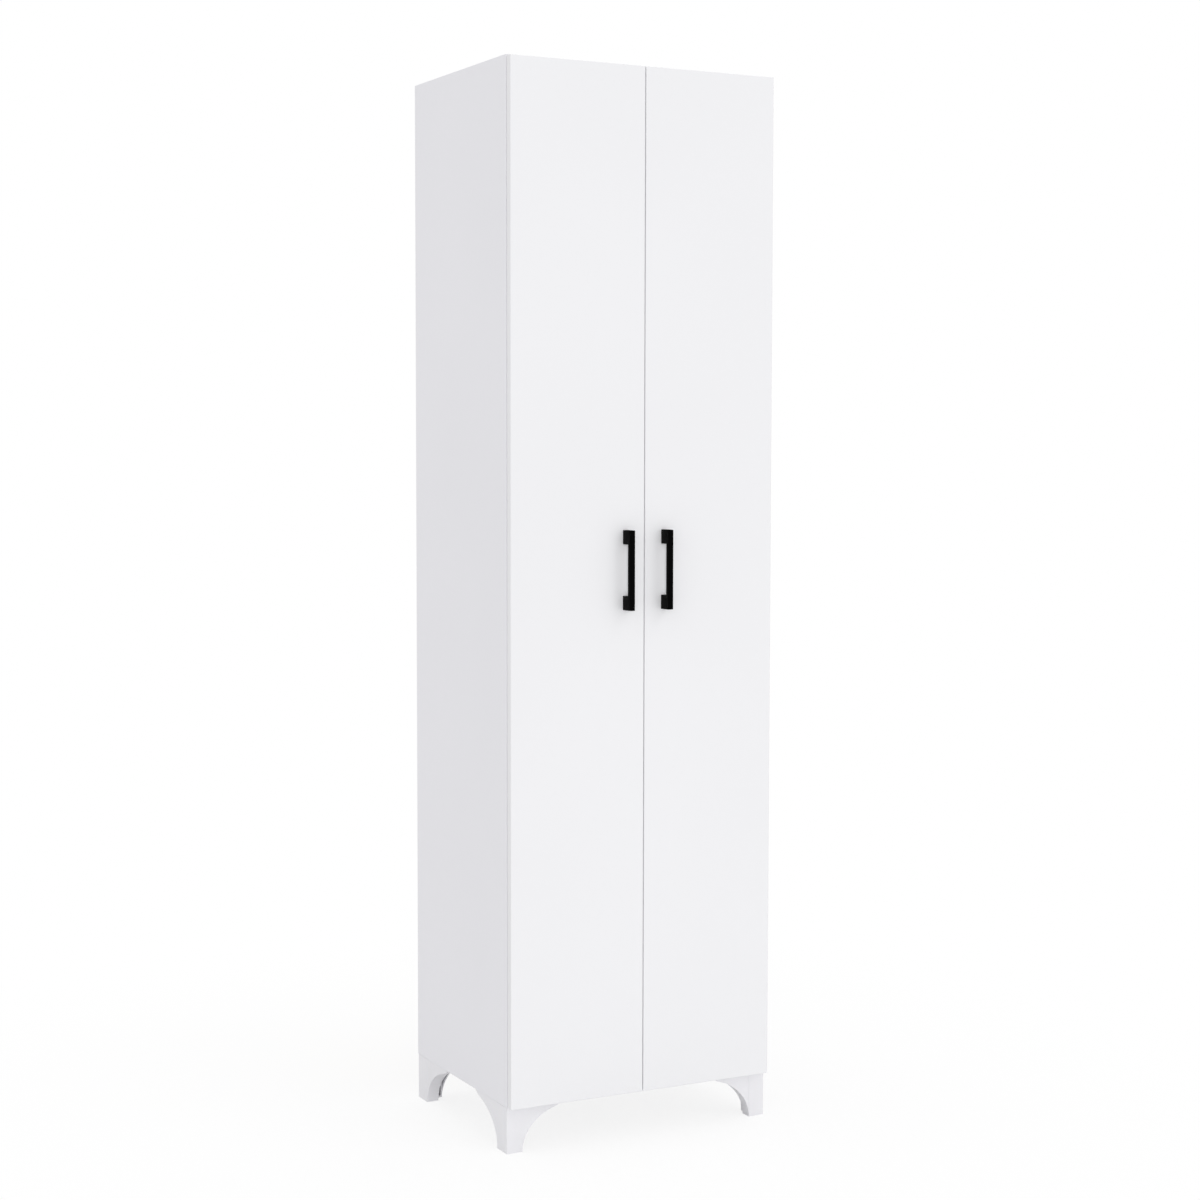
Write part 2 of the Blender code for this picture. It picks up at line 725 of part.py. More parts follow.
def hinge_cup():
    """Hinge cup: a bowl with a stepped well for the links, pins across it and an eared flange.

    The outer pin is two stubs, so that the inner link can swing between them.
    """
    door_back = -DOOR_STANDOFF
    seat = door_back + SEAT
    top = seat + CUP_FLANGE
    bottom = door_back - CUP_DEPTH
    floor = bottom + CUP_WALL
    middle = Vector((CUP_CENTRE, 0))
    edge = CUP_CENTRE - CUP_OUTSIDE
    well_half = OUTER_LINK_HALF + CUP_WELL_GAP
    slot_half = INNER_LINK_HALF + CUP_WELL_GAP
    ears = []
    for up in (-EAR_SPACING / 2, EAR_SPACING / 2):
        ears += circle((CUP_CENTRE + EAR_INSET, up), EAR_RADIUS, HINGE_SIDES + 2)
    flange = hull(ears, 0, CUP_FLANGE)
    flange.transform(Matrix(((1, 0, 0, 0), (0, 0, 1, seat), (0, 1, 0, 0), (0, 0, 0, 1))))
    flange.flip_normals()
    rim = rod((middle.x, seat, 0), (middle.x, top, 0), CUP_RADIUS + CUP_RIM, CUP_SIDES)
    room = rod((middle.x, floor, 0), (middle.x, top + PAST, 0), CUP_INSIDE, CUP_SIDES)
    cheek = CUP_CENTRE - CUP_CHEEK_START
    low = (0, bottom - PAST, -2 * CUP_RADIUS)
    room = combine(room, [("DIFFERENCE", block(low, (cheek, top + 2 * PAST, 2 * CUP_RADIUS)))])
    well = block((edge + CUP_WELL_WALL, floor, -well_half), (CUP_CENTRE, top + PAST, well_half))
    slot = block((edge + CUP_SLOT_WALL, floor, -slot_half), (CUP_CENTRE, top + PAST, slot_half))
    notch = block((0, door_back, -well_half), (CUP_CENTRE, top + PAST, well_half))
    steps = [("UNION", rim), ("UNION", flange)]
    steps += [("DIFFERENCE", cutter) for cutter in (room, well, slot, notch)]
    bite = well_half + HINGE_PIN_BITE
    stub = INNER_LINK_HALF + SEAT
    pins = ((CUP_INNER_PIN, -bite, bite), (CUP_OUTER_PIN, stub, bite), (CUP_OUTER_PIN, -bite, -stub))
    for pin, low, high in pins:
        steps.append(("UNION", rod((*pin, low), (*pin, high), HINGE_PIN, HINGE_SIDES)))
    bowl = rod((middle.x, bottom, 0), (middle.x, seat + CUP_FLANGE / 2, 0), CUP_OUTSIDE, CUP_SIDES)
    return moved(combine(bowl, steps), (-CUP_OUTER_PIN.x, -CUP_OUTER_PIN.y, 0))


def bow_handle():
    """Handle outline seen from the side: two end blocks and a bar flush with their faces."""
    end = HANDLE_LENGTH / 2
    under = HANDLE_REACH - HANDLE_BAR
    outline = [
        (0, -end),
        (-HANDLE_REACH, -end),
        (-HANDLE_REACH, end),
        (0, end),
        (0, end - HANDLE_BLOCK),
        (-under, end - HANDLE_BLOCK),
        (-under, HANDLE_BLOCK - end),
        (0, HANDLE_BLOCK - end),
    ]
    upright = Matrix(((0, 0, 1, 0), (1, 0, 0, 0), (0, 1, 0, 0), (0, 0, 0, 1)))
    return prism(outline, -HANDLE_WIDTH / 2, HANDLE_WIDTH / 2, upright)


def cup_bores(side, origin):
    """Cutter for the three cup bores in a door's back, placed from the door's own origin."""
    bores = []
    for _, level in hinge_levels():
        spot = Vector((side * (HALF - CUP_CENTRE), DOOR_BACK, level)) - origin
        bottom = spot - Vector((0, CUP_DEPTH + SEAT, 0))
        bores.append(rod(bottom, spot + Vector((0, PAST, 0)), CUP_RADIUS, CUP_SIDES))
    return gather(bores)


def build_doors():
    """Doors, handles and hinges, each door carried through its outer links."""
    handle = bow_handle()
    shapes = {
        "cup": (smoothed(hinge_cup()), NICKEL, CUP_OUTER_PIN),
        "arm": (smoothed(hinge_arm()), NICKEL, Vector((0, 0))),
        "plate": (smoothed(mounting_plate()), STEEL, Vector((0, 0))),
        "outer_link": (smoothed(outer_link()), NICKEL, ARM_FAR_PIN),
        "inner_link": (smoothed(inner_link()), STEEL, ARM_NEAR_PIN),
    }
    for side_name, side in (("left", -1), ("right", 1)):
        outer_pivot = pivot(side_name + "_outer_link_pivot", side, ARM_FAR_PIN)
        inner_pivot = pivot(side_name + "_inner_link_pivot", side, ARM_NEAR_PIN)
        door_pivot = pivot(side_name + "_door_pivot", side, CUP_OUTER_PIN, outer_pivot)
        origin = hinge_place(side, CUP_OUTER_PIN, (DOOR_BOTTOM + DOOR_TOP) / 2)
        outer = side * (HALF - DOOR_SIDE_REVEAL)
        inner = side * DOOR_MIDDLE_GAP / 2
        low = (min(outer, inner), DOOR_FRONT, DOOR_BOTTOM)
        high = (max(outer, inner), DOOR_BACK, DOOR_TOP)
        door = board(side_name + "_door", low, high, WHITE_DOOR, origin, door_pivot)
        drill(door, side_name + "_cup_bores", cup_bores(side, origin))
        spot = (side * HANDLE_FROM_SEAM, DOOR_FRONT - SEAT, DOOR_BOTTOM + HANDLE_UP_DOOR)
        grip = put(side_name + "_handle", handle, BLACK_METAL, spot, door_pivot)
        ease(grip, HANDLE_ROUND, 2)
        carriers = {"cup": door_pivot, "outer_link": outer_pivot, "inner_link": inner_pivot}
        for kind, (mesh, finish, pin) in shapes.items():
            own = mesh if side < 0 else mirrored(mesh, -1, 1)
            for level_name, level in hinge_levels():
                name = side_name + "_" + level_name + "_hinge_" + kind
                put(name, own, finish, hinge_place(side, pin, level), carriers.get(kind))


build_carcass()
build_shelves()
build_pins()
build_feet()
build_doors()
bpy.context.view_layer.update()
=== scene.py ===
import math

import bmesh
import bpy
from mathutils import Matrix, Vector


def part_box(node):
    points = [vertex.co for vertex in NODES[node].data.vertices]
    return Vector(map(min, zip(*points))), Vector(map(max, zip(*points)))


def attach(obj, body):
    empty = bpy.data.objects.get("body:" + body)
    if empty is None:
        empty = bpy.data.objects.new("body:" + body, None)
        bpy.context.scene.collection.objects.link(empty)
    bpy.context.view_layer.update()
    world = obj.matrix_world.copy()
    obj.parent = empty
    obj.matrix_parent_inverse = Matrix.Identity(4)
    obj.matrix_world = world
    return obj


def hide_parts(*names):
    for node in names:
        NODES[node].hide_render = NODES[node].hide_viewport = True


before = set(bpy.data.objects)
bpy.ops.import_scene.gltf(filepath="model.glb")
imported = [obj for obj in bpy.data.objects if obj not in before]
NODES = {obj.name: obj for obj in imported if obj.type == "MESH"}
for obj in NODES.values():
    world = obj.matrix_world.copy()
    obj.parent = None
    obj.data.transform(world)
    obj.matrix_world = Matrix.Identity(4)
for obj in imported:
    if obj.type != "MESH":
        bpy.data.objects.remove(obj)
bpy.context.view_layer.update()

# Camera: where the photograph was taken from, in metres and degrees
CAMERA_PLACE = (-2.0998, -4.1256, 1.3701)
CAMERA_YAW = 27.758
CAMERA_PITCH = -3.779
CAMERA_ROLL = 0.143
CAMERA_LENS = 68.607
CAMERA_SENSOR = 36.0
CAMERA_SHIFT = (-0.0211, -0.0065)
CAMERA_NEAR = 0.05
CAMERA_FAR = 60.0

# Studio: even light from all round, and three soft lamps, each by its name, its turn to the right
# and its rise in degrees, its spread, its strength, and whether gloss shows it as a highlight
ROOM_LIGHT = 0.768
LAMPS = (
    ("front_lamp", -22.0, 6.0, 14.0, 0.68, False),
    ("right_lamp", 35.0, 48.0, 30.0, 0.22, True),
    ("top_lamp", 0.0, 90.0, 24.0, 0.28, True),
)

# Floor: its half width, the share of it that shows light and shadow near the cupboard, the distances
# at which that share starts and ends, and how much brighter its plain white is near the middle
FLOOR_REACH = 14.0
FLOOR_SHARE = 0.21
FLOOR_NEAR = 0.5
FLOOR_FAR = 1.8
FLOOR_LIFT = 1.05
FLOOR_GREY = (0.82, 0.82, 0.82)
FLOOR_ROUGHNESS = 0.9

# Carcass sizes that the fittings are placed from
HALF_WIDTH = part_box("left_side")[0].x * -1
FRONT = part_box("left_side")[0].y
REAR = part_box("left_side")[1].y
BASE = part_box("left_side")[0].z
DOOR_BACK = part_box("left_door")[1].y
DOOR_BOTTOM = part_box("left_door")[0].z
DOOR_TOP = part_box("left_door")[1].z
LEVELS = ("lower", "middle", "upper")
SIDES = (("left", -1), ("right", 1))

# Colours of the finishes
# Board white: the carcass's white melamine, made a shade darker and bluer than the doors' as painted
# shade for the side panels, which the lamps light less
BOARD_WHITE_WITH_SHADE = (0.858, 0.854, 0.888)
DOOR_WHITE = (0.880, 0.880, 0.898)
FOOT_WHITE = (0.868, 0.864, 0.892)
FACING_WHITE = (0.852, 0.850, 0.876)
COAT_BLACK = (0.0010, 0.0010, 0.0011)
NICKEL_GREY = (0.66, 0.65, 0.63)
ZINC_GREY = (0.56, 0.57, 0.58)
SILICONE_GREY = (0.80, 0.81, 0.82)
FIBRE_DARK = (0.30, 0.185, 0.095)
FIBRE_LIGHT = (0.42, 0.285, 0.165)
FIBRE_FLECK = (0.16, 0.09, 0.05)

# Laminate: its gloss and roughness, how deep its pearled skin is, how far the edge tape reaches in over
# the face, the widths over which tape and joint fade, their shades beside the face's (the darker tape
# one a painted shade for the gap between door and side), and how fully each covers it
LAMINATE_GLOSS = 0.45
BOARD_ROUGHNESS = 0.42
DOOR_ROUGHNESS = 0.34
SMOOTHER = 0.05
ROUGHER = 0.06
BOARD_PEARL = 0.000022
DOOR_PEARL = 0.000014
TAPE = 0.0008
TAPE_FADE = 0.0001
JOINT_FADE = 0.0002
JOINT_DEPTH = 0.00004
PALE_TAPE = 1.05
# Painted shade: the tape's darker shade where it borders the gap between door and side, in place of
# that gap's shadow
GAP_SHADE_TAPE = 0.95
JOINT_SHADE = 0.82
TAPE_COVER = 0.8
JOINT_COVER = 0.5

# Back board: how far its raw side reaches in from the back, and its white facing from the edges
RAW_DEPTH = 0.0013
CUT_EDGE = 0.0004
RAW_FADE = 0.0001

# Roughness, gloss and relief of the other finishes, the relief in metres
FOOT_ROUGHNESS = (0.36, 0.42, 0.50)
SPARK_DEPTH = 0.00003
FLOW_DEPTH = 0.00006
COAT_ROUGHNESS = (0.42, 0.48, 0.56)
COAT_GLOSS = 0.02
PEBBLE_DEPTH = 0.00005
SLOW_DEPTH = 0.00003
NICKEL_ROUGHNESS = 0.24
ZINC_ROUGHNESS = 0.36
POLISHED = 0.07
WORN = 0.12
ROLLED_DEPTH = 0.000012
BACK_ROUGHNESS = (0.45, 0.55, 0.80)
FIBRE_DEPTH = 0.00010
FLECK_DEPTH = 0.00005
SILICONE_ROUGHNESS = (0.24, 0.30, 0.42)
HAZE_DEPTH = 0.00002

# Edge rounding of the pieces that take a CAD node's place, the distance and the turn in degrees under
# which their points and faces are merged, and the turns over which edges are rounded and kept sharp
SHEET_EDGE = 0.0002
BENT_EDGE = 0.0003
HANDLE_EDGE = 0.0004
SAME_PLACE = 0.00001
FLAT_TURN = 0.5
ROUNDED_TURN = 30.0
ROUND_TURN = 50.0
HEAD_TURN = 30.0


def deselect():
    """Deselect everything, in object mode."""
    bpy.ops.object.select_all(action="DESELECT")


def only(piece):
    """Select one piece and make it active."""
    deselect()
    piece.select_set(True)
    bpy.context.view_layer.objects.active = piece


def editing(piece):
    """Enter edit mode on one piece with everything selected."""
    only(piece)
    bpy.ops.object.mode_set(mode="EDIT")
    bpy.ops.mesh.select_all(action="SELECT")


def done():
    """Leave edit mode."""
    bpy.ops.object.mode_set(mode="OBJECT")


def apply_modifier(piece, name):
    """Apply one modifier."""
    only(piece)
    bpy.ops.object.modifier_apply(modifier=name)


def rounded(piece, width):
    """Round the edges where two faces turn away from each other."""
    change = piece.modifiers.new("rounded", "BEVEL")
    change.width = width
    change.segments = 2
    change.limit_method = "ANGLE"
    change.angle_limit = math.radians(ROUNDED_TURN)
    change.harden_normals = False
    apply_modifier(piece, "rounded")


def smooth(piece, angle):
    """Shade smooth, but for corners over an angle in degrees."""
    only(piece)
    bpy.ops.object.shade_smooth_by_angle(angle=math.radians(angle))


class Finish:
    """A node material, built from small steps."""

    def __init__(self, name, colour, roughness, metallic=0.0):
        self.material = bpy.data.materials.new(name)
        self.material.use_nodes = True
        self.tree = self.material.node_tree
        self.shader = self.tree.nodes["Principled BSDF"]
        self.colour = colour
        self.shader.inputs["Base Color"].default_value = (*colour, 1.0)
        self.shader.inputs["Roughness"].default_value = roughness
        self.shader.inputs["Metallic"].default_value = metallic
        self.place = self.node("ShaderNodeTexCoord")
        self.height = None

    def node(self, kind, **values):
        """New node with its values set."""
        made = self.tree.nodes.new(kind)
        for key, value in values.items():
            setattr(made, key, value)
        return made

    def link(self, source, target):
        """Join two sockets."""
        self.tree.links.new(source, target)

    def stretched(self, scale):
        """Object coordinates stretched by a scale along each axis."""
        mapping = self.node("ShaderNodeMapping")
        mapping.inputs["Scale"].default_value = scale
        self.link(self.place.outputs["Object"], mapping.inputs["Vector"])
        return mapping.outputs["Vector"]

    def noise(self, scale, detail=2.0, stretch=None, roughness=0.5):
        """Noise on object coordinates."""
        noise = self.node("ShaderNodeTexNoise")
        noise.inputs["Scale"].default_value = scale
        noise.inputs["Detail"].default_value = detail
        noise.inputs["Roughness"].default_value = roughness
        vector = self.stretched(stretch) if stretch else self.place.outputs["Object"]
        self.link(vector, noise.inputs["Vector"])
        return noise.outputs["Fac"]

    def math(self, operation, first, second):
        """One arithmetic step between two sockets or numbers."""
        step = self.node("ShaderNodeMath", operation=operation)
        for socket, value in zip(step.inputs, (first, second)):
            if isinstance(value, (int, float)):
                socket.default_value = value
            else:
                self.link(value, socket)
        return step.outputs["Value"]

    def ranged(self, source, low, high, out_low, out_high):
        """Map one range to another, kept inside it."""
        step = self.node("ShaderNodeMapRange", clamp=True)
        self.link(source, step.inputs["Value"])
        ends = {"From Min": low, "From Max": high, "To Min": out_low, "To Max": out_high}
        for name, value in ends.items():
            step.inputs[name].default_value = value
        return step.outputs["Result"]

    def share(self, source, low, high):
        """Map one range to a share from 0 to 1."""
        return self.ranged(source, low, high, 0.0, 1.0)

    def within(self, distance, limit, fade):
        """Share that is 1 nearer than a limit and fades to 0 at it."""
        return self.ranged(distance, limit - fade, limit, 1.0, 0.0)

    def mixed(self, share, first, second):
        """Mix two colours, each a tuple or a socket."""
        mix = self.node("ShaderNodeMix", data_type="RGBA")
        self.link(share, mix.inputs["Factor"])
        for socket, value in ((mix.inputs["A"], first), (mix.inputs["B"], second)):
            if isinstance(value, tuple):
                socket.default_value = (*value, 1.0)
            else:
                self.link(value, socket)
        return mix.outputs["Result"]

    def shade(self, factor):
        """The finish's own colour, made lighter or darker by a factor."""
        return tuple(channel * factor for channel in self.colour)

    def tinted(self, share, factor):
        """The finish's own colour, mixed with its shade by a share."""
        return self.mixed(share, self.colour, self.shade(factor))

    def bump(self, height, distance):
        """Add relief of a real depth, on top of what is there."""
        bump = self.node("ShaderNodeBump")
        bump.inputs["Strength"].default_value = 1.0
        bump.inputs["Distance"].default_value = distance
        self.link(height, bump.inputs["Height"])
        if self.height:
            self.link(self.height, bump.inputs["Normal"])
        self.height = bump.outputs["Normal"]
        self.link(self.height, self.shader.inputs["Normal"])

    def set(self, name, source):
        """Join a texture to one of the shader's sockets."""
        self.link(source, self.shader.inputs[name])


def edge_distance(finish, box, edges):
    """Distance from the nearest of a board's edges, each given as an axis and a side."""
    low, high = box
    split = finish.node("ShaderNodeSeparateXYZ")
    finish.link(finish.place.outputs["Object"], split.inputs["Vector"])
    nearest = None
    for axis, side in edges:
        place = split.outputs["XYZ".index(axis)]
        limit = (high if side > 0 else low)["XYZ".index(axis)]
        outer, inner = (limit, place) if side > 0 else (place, limit)
        away = finish.math("SUBTRACT", outer, inner)
        nearest = away if nearest is None else finish.math("MINIMUM", nearest, away)
    return nearest


def laminate(name, colour, roughness, pearl, box, edges, painted_shade_edges=()):
    """Melamine-faced board: pearled face, slight cloudiness, and tape with a fine joint at its edges.

    The tape is a little paler than the face; at the edges listed as painted shade it is darkened, a
    painted shade for the shadow in the gap between door and side.
    """
    finish = Finish(name, colour, roughness)
    finish.shader.inputs["Specular IOR Level"].default_value = LAMINATE_GLOSS
    cloud = finish.noise(scale=1.7)
    near = edge_distance(finish, box, edges)
    inner = finish.ranged(near, TAPE - JOINT_FADE, TAPE, 0.0, 1.0)
    outer = finish.ranged(near, TAPE, TAPE + JOINT_FADE, 1.0, 0.0)
    joint = finish.math("MULTIPLY", inner, outer)
    tape = finish.within(near, TAPE, TAPE_FADE)
    base = finish.tinted(finish.share(cloud, low=0.35, high=0.65), factor=0.985)
    base = finish.mixed(finish.math("MULTIPLY", tape, TAPE_COVER), base, finish.shade(PALE_TAPE))
    # Painted shade: darker tape at the edges beside the gap between door and side, standing in for that
    # gap's shadow
    if painted_shade_edges:
        painted_gap_shade = finish.within(edge_distance(finish, box, painted_shade_edges), TAPE, TAPE_FADE)
        base = finish.mixed(painted_gap_shade, base, finish.shade(GAP_SHADE_TAPE))
    base = finish.mixed(finish.math("MULTIPLY", joint, JOINT_COVER), base, finish.shade(JOINT_SHADE))
    finish.set("Base Color", base)
    grain = finish.noise(scale=620.0, detail=3.0, roughness=0.6)
    wide = finish.noise(scale=60.0)
    both = finish.math("ADD", grain, wide)
    finish.set("Roughness", finish.ranged(both, 0.6, 1.4, roughness - SMOOTHER, roughness + ROUGHER))
    finish.bump(grain, pearl)
    finish.bump(wide, pearl * 3)
    finish.bump(joint, -JOINT_DEPTH)
    return finish.material


def moulded_plastic():
    """White injection-moulded plastic with a fine spark texture."""
    smoothest, middle, roughest = FOOT_ROUGHNESS
    finish = Finish("moulded_white", FOOT_WHITE, middle)
    finish.shader.inputs["Subsurface Weight"].default_value = 0.04
    finish.shader.inputs["Subsurface Radius"].default_value = (0.004, 0.004, 0.004)
    cloud = finish.noise(scale=9.0)
    finish.set("Base Color", finish.tinted(finish.share(cloud, low=0.3, high=0.7), factor=0.97))
    spark = finish.noise(scale=1900.0)
    flow = finish.noise(scale=45.0, stretch=(1.0, 1.0, 0.25))
    both = finish.math("ADD", spark, flow)
    finish.set("Roughness", finish.ranged(both, 0.7, 1.3, smoothest, roughest))
    finish.bump(spark, SPARK_DEPTH)
    finish.bump(flow, FLOW_DEPTH)
    return finish.material


def powder_coat():
    """Matte black powder coat with its fine pebbled skin."""
    smoothest, middle, roughest = COAT_ROUGHNESS
    finish = Finish("black_powder_coat", COAT_BLACK, middle)
    finish.shader.inputs["Specular IOR Level"].default_value = COAT_GLOSS
    pebble = finish.noise(scale=2300.0)
    slow = finish.noise(scale=180.0)
    finish.set("Base Color", finish.tinted(finish.share(slow, low=0.3, high=0.7), factor=1.5))
    finish.set("Roughness", finish.ranged(pebble, 0.3, 0.7, smoothest, roughest))
    finish.bump(pebble, PEBBLE_DEPTH)
    finish.bump(slow, SLOW_DEPTH)
    return finish.material


def plated(name, colour, roughness, lines):
    """Plated steel with faint rolling lines and handling marks."""
    finish = Finish(name, colour, roughness, metallic=1.0)
    rolled = finish.noise(scale=700.0, detail=3.0, stretch=lines)
    marks = finish.noise(scale=160.0, detail=4.0, roughness=0.65)
    finish.set("Base Color", finish.tinted(finish.share(marks, low=0.35, high=0.7), factor=0.91))
    wear = finish.math("ADD", rolled, marks)
    finish.set("Roughness", finish.ranged(wear, 0.7, 1.3, roughness - POLISHED, roughness + WORN))
    finish.bump(rolled, ROLLED_DEPTH)
    return finish.material


def hardboard(box):
    """Back board: white facing inside and along its edges, raw brown fibres outside."""
    smoothest, middle, roughest = BACK_ROUGHNESS
    finish = Finish("back_hardboard", FACING_WHITE, middle)
    behind = edge_distance(finish, box, [("Y", 1)])
    inward = edge_distance(finish, box, [("X", -1), ("X", 1), ("Z", -1), ("Z", 1)])
    outside = finish.within(behind, RAW_DEPTH, RAW_FADE)
    uncut = finish.share(inward, CUT_EDGE - RAW_FADE, CUT_EDGE)
    raw = finish.math("MULTIPLY", outside, uncut)
    fibre = finish.noise(scale=260.0, detail=6.0, stretch=(1.0, 1.0, 0.35), roughness=0.72)
    fleck = finish.noise(scale=1100.0, detail=4.0, roughness=0.7)
    brown = finish.mixed(finish.share(fibre, low=0.35, high=0.65), FIBRE_DARK, FIBRE_LIGHT)
    brown = finish.mixed(finish.ranged(fleck, 0.60, 0.72, 0.0, 0.5), brown, FIBRE_FLECK)
    finish.set("Base Color", finish.mixed(raw, finish.colour, brown))
    finish.set("Roughness", finish.ranged(raw, 0.0, 1.0, smoothest, roughest))
    finish.bump(finish.math("MULTIPLY", fibre, raw), FIBRE_DEPTH)
    finish.bump(finish.math("MULTIPLY", fleck, raw), FLECK_DEPTH)
    return finish.material


def soft_bumper():
    """Cloudy silicone of the door bumpers."""
    smoothest, middle, roughest = SILICONE_ROUGHNESS
    finish = Finish("bumper_silicone", SILICONE_GREY, middle)
    finish.shader.inputs["Transmission Weight"].default_value = 0.45
    finish.shader.inputs["IOR"].default_value = 1.41
    haze = finish.noise(scale=900.0)
    finish.set("Roughness", finish.ranged(haze, 0.3, 0.7, smoothest, roughest))
    finish.bump(haze, HAZE_DEPTH)
    return finish.material


PLASTIC = moulded_plastic()
BLACK = powder_coat()
NICKEL = plated("nickel_plate", NICKEL_GREY, NICKEL_ROUGHNESS, lines=(1.0, 1.0, 0.12))
ZINC = plated("zinc_plate", ZINC_GREY, ZINC_ROUGHNESS, lines=(1.0, 0.12, 1.0))
HARDBOARD = hardboard(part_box("back_panel"))
SILICONE = soft_bumper()


def dress_boards():
    """Each board and door keeps its CAD solid and gets its own taped edges, darkened beside the gap
    between doors and sides as painted shade.
    """
    front = [("Y", -1)]
    around = [("Y", -1), ("Y", 1), ("Z", -1), ("Z", 1)]
    taped = {"left_side": around, "right_side": around}
    # Painted shade: the sides' front edges, seen in the gap beside the doors, get the darker tape
    painted_shade_edges = {"left_side": front, "right_side": front}
    for name in ("top_panel", "bottom_panel", "fixed_shelf"):
        taped[name] = front
    for name in ("lower_shelf", "upper_shelf", "top_shelf"):
        taped[name] = [("Y", -1), ("Y", 1), ("X", -1), ("X", 1)]
    for name, edges in taped.items():
        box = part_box(name)
        painted_gap_shade = painted_shade_edges.get(name, ())
        # Boards take the board white, a white with painted shade for the side panels
        skin = laminate(name + "_laminate", BOARD_WHITE_WITH_SHADE, BOARD_ROUGHNESS, BOARD_PEARL, box, edges, painted_gap_shade)
        NODES[name].material_slots[0].material = skin
    for side_name, side in SIDES:
        name = side_name + "_door"
        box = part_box(name)
        edges = [("X", -1), ("X", 1), ("Z", -1), ("Z", 1)]
        # Painted shade: the door's edge at its hinge side, beside the gap to the side panel, gets the
        # darker tape
        hinge_gap_shade_edges = [("X", side)]
        skin = laminate(name + "_laminate", DOOR_WHITE, DOOR_ROUGHNESS, DOOR_PEARL, box, edges, hinge_gap_shade_edges)
        NODES[name].material_slots[0].material = skin


def refined(node, body, finish, edge=0.0, angle=35.0):
    """Smooth piece in a node's place: its faces merged, its edges rounded."""
    mesh = NODES[node].data.copy()
    piece = bpy.data.objects.new(node + "_finished", mesh)
    bpy.context.scene.collection.objects.link(piece)
    mesh.materials.clear()
    mesh.materials.append(finish)
    editing(piece)
    bpy.ops.mesh.remove_doubles(threshold=SAME_PLACE)
    bpy.ops.mesh.dissolve_limited(angle_limit=math.radians(FLAT_TURN))
    done()
    if edge:
        rounded(piece, edge)
    smooth(piece, angle)
    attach(piece, body)
    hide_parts(node)
    return piece


def discard(*pieces):
    """Delete pieces that were only tools or patterns for others."""
    for piece in pieces:
        only(piece)
        bpy.ops.object.delete()


def blank(name, finish):
    """Name and finish the piece that was just added."""
    piece = bpy.context.view_layer.objects.active
    piece.name = name
    piece.data.name = name
    piece.data.materials.clear()
    piece.data.materials.append(finish)
    return piece


def pick_faces(piece, test):
    """In edit mode, select just the faces whose middle and normal pass a test."""
    form = bmesh.from_edit_mesh(piece.data)
    for face in form.faces:
        face.select_set(False)
    for face in form.faces:
        if test(face.calc_center_median(), face.normal):
            face.select_set(True)
    bmesh.update_edit_mesh(piece.data)


def cut(piece, cutter):
    """Cut one piece with another, which is deleted."""
    change = piece.modifiers.new("cut", "BOOLEAN")
    change.operation = "DIFFERENCE"
    change.solver = "EXACT"
    change.object = cutter
    apply_modifier(piece, "cut")
    discard(cutter)


# Cross recess of a screw head, as shares of the head's radius and height, its taper, and how far
# its cutter stands out of the head
RECESS_REACH = 0.62
RECESS_WIDTH = 0.24
RECESS_DEPTH = 0.75
RECESS_TAPER = 0.45
OVERCUT = 0.0001

# Dimple of a cap, as shares of its radius
DIMPLE_START = 0.30
DIMPLE_WALL = 0.12


def cross_cutter(reach, width, depth):
    """Tapered cross for a driver recess, its open end at the origin."""
    arms = []
    for turn in (0.0, math.pi / 2):
        deselect()
        bpy.ops.mesh.primitive_cube_add(size=1.0, location=(0, 0, -depth / 2 + OVERCUT))
        arm = bpy.context.view_layer.objects.active
        arm.scale = (2 * reach, width, depth + 2 * OVERCUT)
        arm.rotation_euler.z = turn
        bpy.ops.object.transform_apply(location=True, rotation=True, scale=True)
        editing(arm)
        pick_faces(arm, lambda middle, normal: normal.z < -0.9)
        bpy.ops.transform.resize(value=(RECESS_TAPER, RECESS_TAPER, 1.0), center_override=(0, 0, 0))
        done()
        arms.append(arm)
    change = arms[0].modifiers.new("joined", "BOOLEAN")
    change.operation = "UNION"
    change.solver = "EXACT"
    change.object = arms[1]
    apply_modifier(arms[0], "joined")
    discard(arms[1])
    return arms[0]


def cylinder(name, finish, radius, height, sides):
    """Plain upright cylinder standing on the plane z = 0, to be shaped further."""
    deselect()
    middle = (0, 0, height / 2)
    bpy.ops.mesh.primitive_cylinder_add(vertices=sides, radius=radius, depth=height, location=middle)
    piece = blank(name, finish)
    bpy.ops.object.transform_apply(location=True, rotation=True, scale=True)
    return piece


def screw_head(name, finish, radius, height, dome):
    """Round head with a domed rim and a cross recess, standing on the plane z = 0."""
    head = cylinder(name, finish, radius, height, sides=28)
    editing(head)
    pick_faces(head, lambda middle, normal: normal.z > 0.9)
    bpy.ops.mesh.bevel(offset=dome, segments=3, affect="EDGES")
    done()
    cutter = cross_cutter(radius * RECESS_REACH, radius * RECESS_WIDTH, height * RECESS_DEPTH)
    only(cutter)
    bpy.ops.transform.translate(value=(0, 0, height))
    bpy.ops.object.transform_apply(location=True, rotation=True, scale=True)
    cut(head, cutter)
    smooth(head, HEAD_TURN)
    return head


def disc(name, finish, radius, height, edge, dimple, sides):
    """Round cap with a rounded rim and a shallow dimple, standing on the plane z = 0."""
    piece = cylinder(name, finish, radius, height, sides)
    editing(piece)
    pick_faces(piece, lambda middle, normal: normal.z > 0.9)
    bpy.ops.mesh.bevel(offset=edge, segments=4, affect="EDGES")
    pick_faces(piece, lambda middle, normal: normal.z > 0.999)
    bpy.ops.mesh.inset(thickness=radius * DIMPLE_START, depth=0.0)
    bpy.ops.mesh.inset(thickness=radius * DIMPLE_WALL, depth=-dimple)
    done()
    smooth(piece, HEAD_TURN)
    return piece


